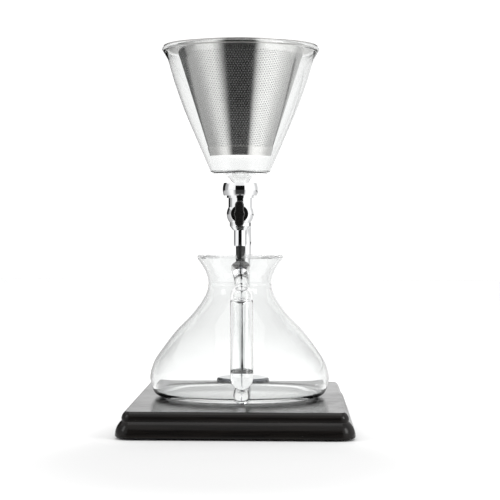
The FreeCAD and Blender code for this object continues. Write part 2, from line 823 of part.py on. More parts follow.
def server_handle():
    """Closed glass tube with thick ends in front of the server, on two solid studs."""
    low = handle_point(server_belly_r + handle_low_out, handle_low_z)
    high = handle_point(server_waist_r + handle_high_out, server_waist_z - handle_high_drop)
    on_funnel = handle_point(server_waist_r, server_waist_z + upper_stud_rise)
    on_wall = handle_point(server_belly_r - lower_stud_in, lower_stud_z)
    handle = capsule(handle_r, low, high).multiFuse([
        stud(on_funnel, high, upper_stud_into, upper_stud_r),
        stud(on_wall, low, lower_stud_into, lower_stud_r),
    ]).removeSplitter()
    along = (high - low).normalize()
    hollow_r = handle_r - handle_wall
    hollow = rod(hollow_r, low + along * (handle_bottom_t - handle_r),
                 high - along * (handle_top_t - handle_r))
    ends = [edge for edge in hollow.Edges if edge.Curve.TypeId == "Part::GeomCircle"]
    handle = handle.cut(hollow.makeFillet(handle_hollow_round, ends))
    handle.rotate(V(0, axis_y, 0), V(0, 0, 1), handle_turn)
    handle = handle.cut(filled(bowl_outline())).cut(filled(funnel_outline()))
    return max(handle.Solids, key=lambda piece: piece.Volume)


# ---- write every piece ----------------------------------------------------------------------
def four(make):
    return Part.makeCompound([make(place) for place in foot_places()])


pieces = {
    "base_board": base_board(),
    "rubber_feet": four(foot),
    "feet_screws": four(foot_screw),
    "post_flange": post_flange(),
    "post_tube": post_tube(),
    "post_plug": post_plug(),
    "post_bolt": post_bolt(),
    "post_washer": post_washer(),
    "arm_spigot": arm_spigot(),
    "arm_nut": arm_nut(),
    "valve_body": valve_body(),
    "ball_seats": ball_seats(),
    "valve_ball": valve_ball(),
    "valve_stem": valve_stem(),
    "stem_o_rings": stem_o_rings(),
    "packing_nut": packing_nut(),
    "valve_lever": valve_lever(),
    "lever_screw": lever_screw(),
    "inlet_neck": inlet_neck(),
    "neck_o_ring": neck_o_ring(),
    "cone_gasket": cone_gasket(),
    "collar_nut": collar_nut(),
    "spout_tube": spout_tube(),
    "spout_o_ring": spout_o_ring(),
    "outlet_tip": outlet_tip(),
    "glass_cone": glass_cone(),
    "filter_cone": filter_cone(),
    "filter_lip": filter_lip(),
    "filter_base": filter_base(),
    "server_body": server_body(),
    "server_funnel": server_funnel(),
    "server_handle": server_handle(),
}

os.makedirs("parts", exist_ok=True)
for name, shape in pieces.items():
    shape.exportStep("parts/" + name + ".step")
    box = shape.BoundBox
    print(name, shape.isValid(), len(shape.Solids), round(shape.Volume, 1),
          [round(v, 2) for v in (box.XMin, box.XMax, box.YMin, box.YMax, box.ZMin, box.ZMax)])
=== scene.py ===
import math

import bpy
from mathutils import Matrix, Vector


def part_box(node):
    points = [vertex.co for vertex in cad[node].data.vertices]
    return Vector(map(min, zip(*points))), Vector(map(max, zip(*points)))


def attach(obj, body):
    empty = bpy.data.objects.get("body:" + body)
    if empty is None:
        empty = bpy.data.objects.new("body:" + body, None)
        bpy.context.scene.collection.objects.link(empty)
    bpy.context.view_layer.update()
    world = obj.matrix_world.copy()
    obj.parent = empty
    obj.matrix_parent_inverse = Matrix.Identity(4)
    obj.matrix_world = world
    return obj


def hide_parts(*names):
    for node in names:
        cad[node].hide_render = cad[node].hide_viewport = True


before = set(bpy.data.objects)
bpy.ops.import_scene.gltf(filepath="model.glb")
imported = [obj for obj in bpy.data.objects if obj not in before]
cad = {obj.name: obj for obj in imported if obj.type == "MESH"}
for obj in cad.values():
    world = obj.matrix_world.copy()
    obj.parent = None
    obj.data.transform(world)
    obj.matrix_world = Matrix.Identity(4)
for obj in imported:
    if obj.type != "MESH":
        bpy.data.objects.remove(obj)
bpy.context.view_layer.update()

# ---- base board -----------------------------------------------------------------------------
# A wide hardwood board with a moulded edge: a bullnose tier over a deeper ovolo tier. It is
# stained black and sprayed with a clear lacquer that is rubbed out to a deep, even gloss.


def put(tree, kind, inputs=None, **settings):
    """Adds a shader node; inputs are values or the sockets that feed them."""
    made = tree.nodes.new(kind)
    for name, value in settings.items():
        setattr(made, name, value)
    for name, value in (inputs or {}).items():
        if isinstance(value, bpy.types.NodeSocket):
            tree.links.new(value, made.inputs[name])
        else:
            made.inputs[name].default_value = value
    return made


def new_finish(name, **sockets):
    """New material with its Principled shader's plain sockets set; spaces are underscores."""
    material = bpy.data.materials.new(name)
    material.use_nodes = True
    shader = material.node_tree.nodes["Principled BSDF"]
    for socket, value in sockets.items():
        shader.inputs[socket.replace("_", " ")].default_value = value
    return material, material.node_tree, shader


def new_effect(name, inputs, outputs):
    """Empty shader node group; inputs and outputs are names of number or vector sockets."""
    group = bpy.data.node_groups.new(name, "ShaderNodeTree")
    for socket, start in inputs.items():
        kind = "NodeSocketVector" if start is None else "NodeSocketFloat"
        made = group.interface.new_socket(socket, in_out="INPUT", socket_type=kind)
        if start is not None:
            made.default_value = start
    for socket in outputs:
        group.interface.new_socket(socket, in_out="OUTPUT", socket_type="NodeSocketFloat")
    return group, put(group, "NodeGroupInput").outputs, put(group, "NodeGroupOutput").inputs


def sum_of(tree, operation, *values):
    """Math node's result."""
    made = put(tree, "ShaderNodeMath", operation=operation)
    for place, value in enumerate(values):
        if isinstance(value, bpy.types.NodeSocket):
            tree.links.new(value, made.inputs[place])
        else:
            made.inputs[place].default_value = value
    return made.outputs[0]


def between(tree, value, low, high, to_low=0.0, to_high=1.0):
    """Smooth step of a value from one range to another."""
    made = put(tree, "ShaderNodeMapRange", {"Value": value, "From Min": low, "From Max": high,
                                            "To Min": to_low, "To Max": to_high},
               interpolation_type="SMOOTHSTEP")
    return made.outputs["Result"]


def place_in(tree, stretch=(1.0, 1.0, 1.0)):
    """The point's place in the object, stretched."""
    place = put(tree, "ShaderNodeTexCoord").outputs["Object"]
    return put(tree, "ShaderNodeMapping", {"Vector": place, "Scale": stretch}).outputs["Vector"]


def use(tree, group, **inputs):
    """Puts a shared effect into a material; spaces in its names are underscores."""
    made = put(tree, "ShaderNodeGroup", node_tree=group)
    for name, value in inputs.items():
        if isinstance(value, bpy.types.NodeSocket):
            tree.links.new(value, made.inputs[name.replace("_", " ")])
        else:
            made.inputs[name.replace("_", " ")].default_value = value
    return made.outputs


def make_dust():
    """Fine dust that settles on what faces up: a mask, patchy over the surface."""
    tree, given, out = new_effect("settled_dust", {"Amount": 0.1, "Scale": 60.0}, ["Mask"])
    facing = put(tree, "ShaderNodeSeparateXYZ",
                 {"Vector": put(tree, "ShaderNodeNewGeometry").outputs["Normal"]}).outputs["Z"]
    patches = put(tree, "ShaderNodeTexNoise", {"Vector": place_in(tree), "Scale": given["Scale"],
                                               "Detail": 6.0, "Roughness": 0.7}).outputs["Fac"]
    mask = sum_of(tree, "MULTIPLY", between(tree, facing, 0.6, 0.98),
                  between(tree, patches, 0.42, 0.8))
    tree.links.new(sum_of(tree, "MULTIPLY", mask, given["Amount"]), out["Mask"])
    return tree


def make_finger_marks():
    """Faint greasy smears left by hands: a mask of soft blots with a ridged fine pattern."""
    tree, given, out = new_effect("finger_marks", {"Amount": 0.1, "Scale": 30.0}, ["Mask"])
    place = place_in(tree)
    blots = put(tree, "ShaderNodeTexNoise", {"Vector": place, "Scale": given["Scale"],
                                             "Detail": 2.0, "Distortion": 0.6}).outputs["Fac"]
    ridges = put(tree, "ShaderNodeTexWave", {
        "Vector": place, "Scale": sum_of(tree, "MULTIPLY", given["Scale"], 14.0),
        "Distortion": 9.0, "Detail": 1.0, "Detail Scale": 0.6}).outputs["Fac"]
    mask = sum_of(tree, "MULTIPLY", between(tree, blots, 0.5, 0.72),
                  between(tree, ridges, 0.0, 1.0, 0.5, 1.0))
    tree.links.new(sum_of(tree, "MULTIPLY", mask, given["Amount"]), out["Mask"])
    return tree


def make_edge_wear():
    """Where hands and cloths rub an edge thin: a mask along the sharp edges, broken up."""
    tree, given, out = new_effect("edge_wear", {"Radius": 0.0006, "Amount": 0.5, "Scale": 90.0},
                                  ["Mask"])
    round_normal = put(tree, "ShaderNodeBevel", {"Radius": given["Radius"]}, samples=4)
    true_normal = put(tree, "ShaderNodeNewGeometry").outputs["Normal"]
    same = put(tree, "ShaderNodeVectorMath", {0: round_normal.outputs[0], 1: true_normal},
               operation="DOT_PRODUCT").outputs["Value"]
    edge = between(tree, same, 0.995, 0.9)
    rubbed = put(tree, "ShaderNodeTexNoise", {"Vector": place_in(tree), "Scale": given["Scale"],
                                              "Detail": 4.0}).outputs["Fac"]
    mask = sum_of(tree, "MULTIPLY", edge, between(tree, rubbed, 0.45, 0.65))
    tree.links.new(sum_of(tree, "MULTIPLY", mask, given["Amount"]), out["Mask"])
    return tree


settled_dust = make_dust()
finger_marks = make_finger_marks()
edge_wear = make_edge_wear()


def tint(tree, mask, plain, changed):
    """Colour that goes from one to another by a mask."""
    made = put(tree, "ShaderNodeMix", {"Factor": mask}, data_type="RGBA")
    for socket, value in ((made.inputs[6], plain), (made.inputs[7], changed)):
        if isinstance(value, bpy.types.NodeSocket):
            tree.links.new(value, socket)
        else:
            socket.default_value = (*value, 1.0)
    return made.outputs[2]


def black_lacquer():
    """Near-black stain whose grain barely shows, under a smooth clear lacquer."""
    material, tree, shader = new_finish("black_lacquer", IOR=1.5, Specular_IOR_Level=0.16)
    along = put(tree, "ShaderNodeTexNoise", {"Vector": place_in(tree, (1.0, 16.0, 16.0)),
                                             "Scale": 26.0, "Detail": 7.0, "Roughness": 0.62,
                                             "Distortion": 0.25}).outputs["Fac"]
    pores = put(tree, "ShaderNodeTexNoise", {"Vector": place_in(tree, (4.0, 90.0, 90.0)),
                                             "Scale": 22.0, "Detail": 3.0}).outputs["Fac"]
    ripple = put(tree, "ShaderNodeTexNoise", {"Vector": place_in(tree), "Scale": 300.0,
                                              "Detail": 1.0}).outputs["Fac"]
    stain = tint(tree, between(tree, along, 0.3, 0.75), (0.0035, 0.0031, 0.003),
                 (0.0085, 0.007, 0.0062))
    wear = use(tree, edge_wear, Radius=0.0007, Amount=0.3, Scale=130.0)["Mask"]
    dust = use(tree, settled_dust, Amount=0.035, Scale=48.0)["Mask"]
    marks = use(tree, finger_marks, Amount=0.05, Scale=19.0)["Mask"]
    worn = tint(tree, wear, stain, (0.03, 0.022, 0.017))
    tree.links.new(tint(tree, dust, worn, (0.3, 0.29, 0.27)), shader.inputs["Base Color"])
    dull = sum_of(tree, "ADD", sum_of(tree, "MULTIPLY", dust, 2.0), sum_of(tree, "ADD", marks, wear))
    tree.links.new(sum_of(tree, "ADD", dull, 0.18), shader.inputs["Roughness"])
    height = sum_of(tree, "ADD", sum_of(tree, "MULTIPLY", between(tree, pores, 0.62, 0.7), -0.5),
                    sum_of(tree, "MULTIPLY", ripple, 0.6))
    bump = put(tree, "ShaderNodeBump", {"Height": height, "Strength": 0.12, "Distance": 0.00004})
    tree.links.new(bump.outputs["Normal"], shader.inputs["Normal"])
    return material


def coat(material, *names):
    """Gives CAD nodes their finish."""
    for name in names:
        for slot in cad[name].material_slots:
            slot.material = material


coat(black_lacquer(), "base_board")

# ---- feet -----------------------------------------------------------------------------------
# Four black rubber discs let into the underside of the board near its corners. A countersunk
# steel screw through each holds it, and its head stays clear of the table.


def foot_rubber():
    material, tree, shader = new_finish("foot_rubber", Specular_IOR_Level=0.35)
    grain = put(tree, "ShaderNodeTexNoise", {"Vector": place_in(tree), "Scale": 900.0,
                                             "Detail": 2.0}).outputs["Fac"]
    scuffs = put(tree, "ShaderNodeTexNoise", {"Vector": place_in(tree), "Scale": 110.0,
                                              "Detail": 5.0}).outputs["Fac"]
    worn = between(tree, scuffs, 0.55, 0.75)
    tree.links.new(tint(tree, worn, (0.018, 0.018, 0.018), (0.05, 0.048, 0.045)),
                   shader.inputs["Base Color"])
    tree.links.new(between(tree, worn, 0.0, 1.0, 0.62, 0.8), shader.inputs["Roughness"])
    bump = put(tree, "ShaderNodeBump", {"Height": grain, "Strength": 0.3, "Distance": 0.00004})
    tree.links.new(bump.outputs["Normal"], shader.inputs["Normal"])
    return material


def zinc_steel(name, colour, rough):
    """Plated screw steel, dull and a little mottled."""
    material, tree, shader = new_finish(name, Metallic=1.0)
    mottle = put(tree, "ShaderNodeTexNoise", {"Vector": place_in(tree), "Scale": 420.0,
                                              "Detail": 4.0}).outputs["Fac"]
    darker = tuple(c * 0.72 for c in colour)
    tree.links.new(tint(tree, mottle, darker, colour), shader.inputs["Base Color"])
    tree.links.new(between(tree, mottle, 0.3, 0.7, rough - 0.06, rough + 0.06),
                   shader.inputs["Roughness"])
    return material


screw_steel = zinc_steel("screw_steel", (0.62, 0.62, 0.60), 0.32)
coat(foot_rubber(), "rubber_feet")
coat(screw_steel, "feet_screws", "post_bolt", "post_washer")

# ---- post and arm ---------------------------------------------------------------------------
# One length of round tube, bent to an even curve over the server and plated bright. A turned
# flange covers the hole in the board, a bolt from below pulls the tube down onto it, and a
# plated nut closes the joint between the arm and the valve.


def bright_chrome(name, rough=0.035):
    """Mirror chrome plate over polished metal, with faint smears and hairlines."""
    material, tree, shader = new_finish(name, Metallic=1.0)
    marks = use(tree, finger_marks, Amount=0.07, Scale=46.0)["Mask"]
    dust = use(tree, settled_dust, Amount=0.05, Scale=90.0)["Mask"]
    hair = put(tree, "ShaderNodeTexNoise", {"Vector": place_in(tree, (1.0, 1.0, 0.06)),
                                            "Scale": 1500.0, "Detail": 2.0}).outputs["Fac"]
    tree.links.new(tint(tree, dust, (0.86, 0.865, 0.875), (0.6, 0.6, 0.58)),
                   shader.inputs["Base Color"])
    dull = sum_of(tree, "ADD", marks, dust)
    tree.links.new(sum_of(tree, "ADD", dull, rough), shader.inputs["Roughness"])
    bump = put(tree, "ShaderNodeBump", {"Height": hair, "Strength": 0.04, "Distance": 0.00002})
    tree.links.new(bump.outputs["Normal"], shader.inputs["Normal"])
    return material


def painted_dark_chrome():
    """Chrome for the flange with painted shade: its plate colour is darker than the bright plate,
    standing in for the dark reflection it shows.
    """
    material, tree, shader = new_finish("chrome_painted_shade", Metallic=1.0)
    dust = use(tree, settled_dust, Amount=0.05, Scale=90.0)["Mask"]
    marks = use(tree, finger_marks, Amount=0.07, Scale=46.0)["Mask"]
    tree.links.new(tint(tree, dust, (0.16, 0.165, 0.18), (0.3, 0.3, 0.29)),
                   shader.inputs["Base Color"])
    tree.links.new(sum_of(tree, "ADD", marks, 0.06), shader.inputs["Roughness"])
    return material


def turned_steel():
    """Machined steel with the fine rings that a lathe tool leaves."""
    material, tree, shader = new_finish("turned_steel", Metallic=1.0, Anisotropic=0.4)
    rings = put(tree, "ShaderNodeTexNoise", {"Vector": place_in(tree, (0.2, 1.0, 1.0)),
                                             "Scale": 2400.0, "Detail": 1.0}).outputs["Fac"]
    tree.links.new(tint(tree, rings, (0.44, 0.43, 0.42), (0.66, 0.65, 0.64)),
                   shader.inputs["Base Color"])
    tree.links.new(between(tree, rings, 0.3, 0.7, 0.22, 0.34), shader.inputs["Roughness"])
    return material


chrome = bright_chrome("chrome_plate")
plain_steel = turned_steel()
coat(chrome, "post_tube", "arm_nut")
# The flange's chrome is a darker copy of the bright plate: painted shade.
coat(painted_dark_chrome(), "post_flange")
coat(plain_steel, "post_plug", "arm_spigot")

# ---- valve ----------------------------------------------------------------------------------
# A small plated ball valve. Its drilled ball turns between two white seats, on a stem with two
# O-rings that a screwed packing nut keeps in. A black moulded lever sits on the stem, held by
# one grub screw, and upright it lets the coffee through.


def seat_white():
    material, tree, shader = new_finish("seat_white", Roughness=0.42, Subsurface_Weight=0.15,
                                        Subsurface_Scale=0.001)
    cloud = put(tree, "ShaderNodeTexNoise", {"Vector": place_in(tree), "Scale": 300.0}).outputs[0]
    tree.links.new(tint(tree, cloud, (0.83, 0.83, 0.81), (0.9, 0.9, 0.89)),
                   shader.inputs["Base Color"])
    return material


def silicone(name, colour, rough, clear=0.0):
    """Soft silicone rubber: satin, very slightly dusty."""
    material, tree, shader = new_finish(name, IOR=1.41, Transmission_Weight=clear)
    dust = use(tree, settled_dust, Amount=0.1, Scale=220.0)["Mask"]
    skin = put(tree, "ShaderNodeTexNoise", {"Vector": place_in(tree), "Scale": 1400.0,
                                            "Detail": 2.0}).outputs["Fac"]
    tree.links.new(tint(tree, dust, colour, (0.25, 0.25, 0.24)), shader.inputs["Base Color"])
    tree.links.new(between(tree, skin, 0.3, 0.7, rough - 0.04, rough + 0.06),
                   shader.inputs["Roughness"])
    bump = put(tree, "ShaderNodeBump", {"Height": skin, "Strength": 0.2, "Distance": 0.00002})
    tree.links.new(bump.outputs["Normal"], shader.inputs["Normal"])
    return material


def black_plastic():
    """Moulded phenolic: glossy black with a fine orange peel, rubbed brown-grey at the edges."""
    material, tree, shader = new_finish("black_plastic", IOR=1.55)
    wear = use(tree, edge_wear, Radius=0.0005, Amount=0.5, Scale=700.0)["Mask"]
    marks = use(tree, finger_marks, Amount=0.16, Scale=90.0)["Mask"]
    peel = put(tree, "ShaderNodeTexNoise", {"Vector": place_in(tree), "Scale": 900.0,
                                            "Detail": 1.0}).outputs["Fac"]
    tree.links.new(tint(tree, wear, (0.006, 0.0055, 0.0055), (0.035, 0.028, 0.024)),
                   shader.inputs["Base Color"])
    tree.links.new(sum_of(tree, "ADD", sum_of(tree, "ADD", marks, wear), 0.16),
                   shader.inputs["Roughness"])
    bump = put(tree, "ShaderNodeBump", {"Height": peel, "Strength": 0.25, "Distance": 0.00005})
    tree.links.new(bump.outputs["Normal"], shader.inputs["Normal"])
    return material


black_rubber = silicone("silicone_black", (0.012, 0.012, 0.012), 0.4)
coat(chrome, "valve_body", "valve_ball", "packing_nut")
coat(plain_steel, "valve_stem")
coat(seat_white(), "ball_seats")
coat(black_rubber, "stem_o_rings", "neck_o_ring", "spout_o_ring")
coat(black_plastic(), "valve_lever")
coat(screw_steel, "lever_screw")

# ---- neck and collar ------------------------------------------------------------------------
# The plated neck is pushed into the top of the valve on an O-ring. A barrel-shaped union nut
# screws over its cup and squeezes a milky silicone sleeve round the cone's glass stem.
coat(chrome, "inlet_neck", "collar_nut")
coat(silicone("silicone_clear", (0.86, 0.87, 0.87), 0.3, 0.55), "cone_gasket")

# ---- spout and tip --------------------------------------------------------------------------
# A straight plated tube under the valve, and a soft black tube pushed up into it that leads
# the coffee down into the server's neck. The real soft tube gives way when the server is moved; here
# it keeps its shape.
coat(chrome, "spout_tube")
coat(black_rubber, "outlet_tip")

# ---- glass cone -----------------------------------------------------------------------------
# Blown clear glass: a short stem, a rounded throat, a tall cone that swells a little, and a
# fire-polished bead round the rim. The wall is about 2 mm.
mm = 0.001
turns = 160
axis = (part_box("glass_cone")[0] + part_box("glass_cone")[1]) / 2
axis.z = 0.0
wall = 2.0 * mm


def curve_through(points, steps=8):
    """Even smooth curve through a few points."""
    path = [Vector((r, z)) for r, z in points]
    path = [2 * path[0] - path[1]] + path + [2 * path[-1] - path[-2]]
    found = []
    for a, b, c, d in zip(path, path[1:], path[2:], path[3:]):
        for step in range(steps):
            t = step / steps
            found.append(0.5 * (2 * b + (c - a) * t + (2 * a - 5 * b + 4 * c - d) * t * t
                                + (3 * b - a - 3 * c + d) * t * t * t))
    return found + [path[-2].copy()]


def round_from(centre, radius, start, end, steps=10):
    """Part of a circle, between two angles in degrees."""
    found = []
    for step in range(steps + 1):
        a = math.radians(start + (end - start) * step / steps)
        found.append(Vector((centre[0] + radius * math.cos(a), centre[1] + radius * math.sin(a))))
    return found


def moved_in(path, distance):
    """A run of points moved sideways, to the left of its direction."""
    found = []
    for i, point in enumerate(path):
        run = path[min(i + 1, len(path) - 1)] - path[max(i - 1, 0)]
        run.normalize()
        found.append(point + Vector((-run.y, run.x)) * distance)
    return found


def new_piece(name, points, faces, material, sharp=40.0):
    """Mesh object in the frame's own place, smooth but for its sharp edges."""
    mesh = bpy.data.meshes.new(name)
    mesh.from_pydata([tuple(p) for p in points], [], faces)
    mesh.shade_smooth()
    mesh.set_sharp_from_angle(angle=math.radians(sharp))
    mesh.materials.append(material)
    piece = bpy.data.objects.new(name, mesh)
    bpy.context.scene.collection.objects.link(piece)
    return piece


def spun(name, outline, material, centre=axis, sharp=40.0):
    """Body of revolution from a closed outline of (radius, height); ends may lie on the axis."""
    points, rows, faces = [], [], []
    for point in outline:
        if point[0] < 1e-7:
            rows.append([len(points)] * turns)
            points.append(centre + Vector((0, 0, point[1])))
            continue
        rows.append(list(range(len(points), len(points) + turns)))
        for k in range(turns):
            a = 2 * math.pi * k / turns
            points.append(centre + Vector((point[0] * math.cos(a), point[0] * math.sin(a), point[1])))
    for low, high in zip(rows, rows[1:] + rows[:1]):
        for k in range(turns):
            n = (k + 1) % turns
            corners = [low[k], low[n], high[n], high[k]]
            corners = [c for i, c in enumerate(corners) if c not in corners[:i]]
            if len(corners) > 2:
                faces.append(corners)
    return new_piece(name, points, faces, material, sharp)


def clear_glass(name, colour, front=None, rim=None):
    """Blown glass with a faint grey cast; in front of y it is painted lighter, nearly clear, a lit
    copy of the same glass; above the rim it thins away.
    """
    material, tree, shader = new_finish(name, IOR=1.36, Transmission_Weight=1.0, Metallic=0.0)
    shader.inputs["Base Color"].default_value = (*colour, 1.0)
    if front is not None:
        place = put(tree, "ShaderNodeSeparateXYZ",
                    {"Vector": put(tree, "ShaderNodeTexCoord").outputs["Object"]}).outputs
        thinned = between(tree, place["Z"], rim - 0.5 * mm, rim, 0.0, 0.7)
        tree.links.new(sum_of(tree, "SUBTRACT", 1.0, thinned), shader.inputs["Alpha"])
        # Painted light: the glass in front of y is a lighter, nearly clear copy of the same glass.
        painted_lighter_front = sum_of(tree, "LESS_THAN", place["Y"], front)
        tree.links.new(tint(tree, painted_lighter_front, colour, (0.995, 0.998, 0.997)),
                       shader.inputs["Base Color"])
    marks = use(tree, finger_marks, Amount=0.02, Scale=24.0)["Mask"]
    tree.links.new(marks, shader.inputs["Roughness"])
    flow = put(tree, "ShaderNodeTexNoise", {"Vector": place_in(tree, (1.0, 1.0, 0.5)),
                                            "Scale": 38.0, "Detail": 1.0}).outputs["Fac"]
    bump = put(tree, "ShaderNodeBump", {"Height": flow, "Strength": 0.08, "Distance": 0.0002})
    tree.links.new(bump.outputs["Normal"], shader.inputs["Normal"])
    return material


glass = clear_glass("cone_glass", (0.935, 0.941, 0.938))

cone_low, cone_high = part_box("glass_cone")
stem_r = 7.5 * mm
throat_z = cone_low.z + 10.3 * mm
corner_z = throat_z + 6.8 * mm
cone_z = corner_z + 6.0 * mm
bead_r = 2.0 * mm
bead_z = cone_high.z - bead_r
rim_r = (cone_high.x - cone_low.x) / 2
side_top_z = bead_z - bead_r - 0.9 * mm
side_top_r = rim_r - 3.6 * mm
side_low_r = 28.4 * mm
side_swell = 2.9 * mm


def cone_side():
    """Outside of the cone: straight lines from throat to rim with a gentle swell."""
    found = [(stem_r, throat_z), (stem_r + 1.6 * mm, throat_z + 2.45 * mm),
             (stem_r + 5.8 * mm, throat_z + 5.2 * mm), (0.75 * side_low_r, corner_z),
             (side_low_r - 2.2 * mm, corner_z + 1.7 * mm)]
    for share in (0, 0.25, 0.5, 0.75, 1):
        swell = side_swell * math.sin(math.pi * share ** 1.25)
        found.append((side_low_r + share * (side_top_r - side_low_r) + swell,
                      cone_z + share * (side_top_z - cone_z)))
    return curve_through(found)


side = cone_side()
bead = round_from((rim_r - bead_r, bead_z), bead_r, -50, 205, 18)
stem_foot = round_from((stem_r - wall / 2, cone_low.z + wall / 2), wall / 2, 180, 360, 8)
glass_cone = spun("cone_glass", stem_foot + side[:-2] + bead + moved_in(side, wall)[-3::-1], glass)
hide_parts("glass_cone")
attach(glass_cone, "dripper")

# ---- steel filter ---------------------------------------------------------------------------
# A cone rolled from thin stainless sheet that is etched all over with fine holes, welded up
# the back. A turned-down lip hangs it on the glass bead, and a spun cup closes its lower end.
sheet_low, sheet_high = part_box("filter_cone")
sheet_t = 0.6 * mm
sheet_top_r = (sheet_high.x - sheet_low.x) / 2
sheet_low_r = 27.0 * mm
half_angle = math.atan2(sheet_top_r - sheet_low_r, sheet_high.z - sheet_low.z)
apex_z = sheet_low.z - sheet_low_r / math.tan(half_angle)
hole_pitch = 2.4 * mm
hole_r = 0.52 * mm
plain_top = 6.5 * mm
plain_low = 7.5 * mm


def sheet_r(z):
    return (z - apex_z) * math.tan(half_angle)


def make_holes():
    """Hexagonal rows of round holes in a flat sheet: 1 in a hole, 0 on the steel."""
    tree, given, out = new_effect("etched_holes", {"Place": None, "Pitch": hole_pitch,
                                                   "Radius": hole_r}, ["Mask"])
    row = math.sqrt(3)
    nearest = None
    for shift in ((0.0, 0.0), (0.5, 0.5)):
        scaled = put(tree, "ShaderNodeVectorMath", {0: given["Place"]}, operation="DIVIDE")
        size = put(tree, "ShaderNodeCombineXYZ", {
            "X": given["Pitch"], "Y": sum_of(tree, "MULTIPLY", given["Pitch"], row), "Z": 1.0})
        tree.links.new(size.outputs[0], scaled.inputs[1])
        cell = put(tree, "ShaderNodeVectorMath", {0: scaled.outputs[0], 1: (*shift, 0.0)},
                   operation="ADD")
        cell = put(tree, "ShaderNodeVectorMath", {0: cell.outputs[0]}, operation="FRACTION")
        cell = put(tree, "ShaderNodeVectorMath", {0: cell.outputs[0], 1: (0.5, 0.5, 0.0)},
                   operation="SUBTRACT")
        cell = put(tree, "ShaderNodeVectorMath", {0: cell.outputs[0], 1: size.outputs[0]},
                   operation="MULTIPLY")
        flat = put(tree, "ShaderNodeVectorMath", {0: cell.outputs[0], 1: (1.0, 1.0, 0.0)},
                   operation="MULTIPLY")
        reach = put(tree, "ShaderNodeVectorMath", {0: flat.outputs[0]},
                    operation="LENGTH").outputs["Value"]
        nearest = reach if nearest is None else sum_of(tree, "MINIMUM", nearest, reach)
    tree.links.new(sum_of(tree, "LESS_THAN", nearest, given["Radius"]), out["Mask"])
    return tree


def etched_steel():
    """Bright stainless sheet with holes, drawn as a matte dark grey that is painted shade where the
    sheet is open; its flat sheet lies in the map called sheet.
    """
    material, tree, shader = new_finish("filter_steel", Metallic=1.0)
    place = put(tree, "ShaderNodeUVMap", uv_map="sheet").outputs["UV"]
    flat = put(tree, "ShaderNodeVectorMath", {0: place, 1: (-0.5, -0.5, 0.0)}, operation="ADD")
    flat = put(tree, "ShaderNodeVectorMath", {0: flat.outputs[0]}, operation="SCALE")
    flat.inputs["Scale"].default_value = sheet_span
    holes = use(tree, make_holes(), Place=flat.outputs[0])["Mask"]
    height = put(tree, "ShaderNodeSeparateXYZ",
                 {"Vector": put(tree, "ShaderNodeTexCoord").outputs["Object"]}).outputs["Z"]
    field = sum_of(tree, "MULTIPLY",
                   sum_of(tree, "GREATER_THAN", height, sheet_low.z + plain_low),
                   sum_of(tree, "LESS_THAN", height, sheet_high.z - plain_top))
    open_here = sum_of(tree, "MULTIPLY", holes, field)
    marks = use(tree, finger_marks, Amount=0.02, Scale=26.0)["Mask"]
    rolled = put(tree, "ShaderNodeTexNoise", {"Vector": place_in(tree, (1.0, 1.0, 0.04)),
                                              "Scale": 900.0, "Detail": 3.0}).outputs["Fac"]
    sheet_tone = tint(tree, rolled, (0.68, 0.675, 0.665), (0.8, 0.795, 0.785))
    tree.links.new(sheet_tone, shader.inputs["Base Color"])
    tree.links.new(sum_of(tree, "ADD", marks, between(tree, rolled, 0.3, 0.7, 0.1, 0.16)),
                   shader.inputs["Roughness"])
    # Painted shade in the holes: a matte dark grey in place of the openings.
    hole_painted_shade = put(tree, "ShaderNodeBsdfDiffuse", {"Color": (0.2, 0.2, 0.2, 1.0)})
    shown = put(tree, "ShaderNodeMixShader", {"Fac": open_here, 1: shader.outputs[0],
                                              2: hole_painted_shade.outputs[0]})
    out = [node for node in tree.nodes if node.type == "OUTPUT_MATERIAL"][0]
    tree.links.new(shown.outputs[0], out.inputs["Surface"])
    return material


def spun_steel(name, smooth, rough):
    """Spun stainless, as smooth and as rough as the two values from ring to ring."""
    material, tree, shader = new_finish(name, Metallic=1.0)
    marks = use(tree, finger_marks, Amount=0.08, Scale=40.0)["Mask"]
    rings = put(tree, "ShaderNodeTexNoise", {"Vector": place_in(tree, (0.02, 0.02, 1.0)),
                                             "Scale": 3000.0, "Detail": 2.0}).outputs["Fac"]
    tree.links.new(tint(tree, rings, (0.7, 0.69, 0.68), (0.8, 0.795, 0.78)),
                   shader.inputs["Base Color"])
    tree.links.new(sum_of(tree, "ADD", marks, between(tree, rings, 0.3, 0.7, smooth, rough)),
                   shader.inputs["Roughness"])
    return material


sheet_span = 2.2 * (sheet_high.z - apex_z) / math.cos(half_angle)


def filter_sheet():
    """The rolled cone, both faces, with the flat sheet that it was cut from as its map."""
    heights = [sheet_low.z + (sheet_high.z - sheet_low.z) * k / 24 for k in range(25)]
    outer = [Vector((sheet_r(z), z)) for z in heights]
    inner = [Vector((sheet_r(z) - sheet_t, z)) for z in reversed(heights)]
    piece = spun("filter_sheet", outer + inner, etched_steel(), sharp=30.0)
    layer = piece.data.uv_layers.new(name="sheet")
    for face in piece.data.polygons:
        middle = Vector(face.center) - axis
        seam_side = math.atan2(middle.x, -middle.y)
        for loop in face.loop_indices:
            point = piece.data.vertices[piece.data.loops[loop].vertex_index].co - axis
            turn = math.atan2(point.x, -point.y)
            if abs(turn - seam_side) > math.pi:
                turn += math.copysign(2 * math.pi, seam_side)
            slant = (point.z - apex_z) / math.cos(half_angle)
            bend = turn * math.sin(half_angle)
            layer.data[loop].uv = (0.5 + slant * math.sin(bend) / sheet_span,
                                   0.5 + slant * math.cos(bend) / sheet_span)
    return piece


sheet = filter_sheet()
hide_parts("filter_cone")
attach(sheet, "filter")
coat(spun_steel("satin_lip", 0.36, 0.44), "filter_lip")
coat(spun_steel("polished_cup", 0.09, 0.15), "filter_base")

